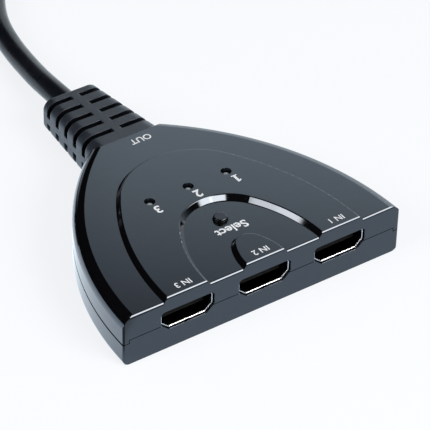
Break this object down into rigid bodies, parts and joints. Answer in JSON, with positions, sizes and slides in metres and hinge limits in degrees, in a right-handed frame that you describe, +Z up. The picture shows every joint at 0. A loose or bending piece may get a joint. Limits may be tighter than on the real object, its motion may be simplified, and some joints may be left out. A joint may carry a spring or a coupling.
{
  "type": "hdmi switch box",
  "caption": "Flat arch-shaped HDMI switch box with sockets along its front, indicator lights, a select button, a ribbed strain relief and a coiled pigtail lead with a plug.",
  "frame": {"origin": "centre of the base under the case and its strain relief", "axes": "+Z up, -Y out of the sockets, +Y along the lead as it leaves the strain relief"},
  "size_m": [0.0943, 0.2246, 0.0152],
  "materials": {
    "case_plastic": "glossy moulded black ABS",
    "board_laminate": "green solder mask",
    "plated_shell": "nickel-plated stamped steel",
    "insulator": "moulded black nylon",
    "contact_gold": "gold-flashed contacts",
    "lens_resin": "diffused clear resin",
    "tinned_metal": "tinned metal",
    "button_plastic": "moulded black plunger",
    "chip_resin": "moulded resin package",
    "ceramic": "ceramic chip",
    "screw_steel": "blackened steel",
    "soft_pvc": "satin moulded black PVC",
    "lead_pvc": "satin extruded black PVC",
    "wire_pvc": "coloured wire insulation",
    "tie_nylon": "black nylon tie"
  },
  "bodies": {
    "case": {"top_shell": "case_plastic", "bottom_shell": "case_plastic", "circuit_board": "board_laminate", "port_1_shell": "plated_shell", "port_2_shell": "plated_shell", "port_3_shell": "plated_shell", "port_1_tongue": "insulator", "port_2_tongue": "insulator", "port_3_tongue": "insulator", "port_1_contacts": "contact_gold", "port_2_contacts": "contact_gold", "port_3_contacts": "contact_gold", "led_1_lens": "lens_resin", "led_2_lens": "lens_resin", "led_3_lens": "lens_resin", "led_leads": "tinned_metal", "switch_base": "insulator", "switch_cover": "plated_shell", "switch_dome": "tinned_metal", "switch_legs": "tinned_metal", "switch_chip": "chip_resin", "chip_pins": "tinned_metal", "memory_chip": "chip_resin", "memory_pins": "tinned_metal", "capacitors": "ceramic", "resistors": "chip_resin", "case_screws": "screw_steel", "cable_boot": "soft_pvc", "cable_core": "lead_pvc", "shield_crimp": "tinned_metal", "signal_wires": "wire_pvc", "cable_run": "lead_pvc", "cable_coil": "lead_pvc", "cable_tail": "lead_pvc", "cable_tie": "tie_nylon", "plug_grip": "soft_pvc", "plug_boot": "soft_pvc", "plug_shell": "plated_shell", "plug_tongue": "insulator", "plug_contacts": "contact_gold"},
    "button": {"select_button": "button_plastic"}
  },
  "joints": [
    {"name": "select_press", "type": "slide", "parent": "case", "child": "button", "axis": [0, 0, -1], "range_m": [0, 0.00025], "stiffness_N_per_m": 1500, "deforming": ["switch_dome"]}
  ]
}
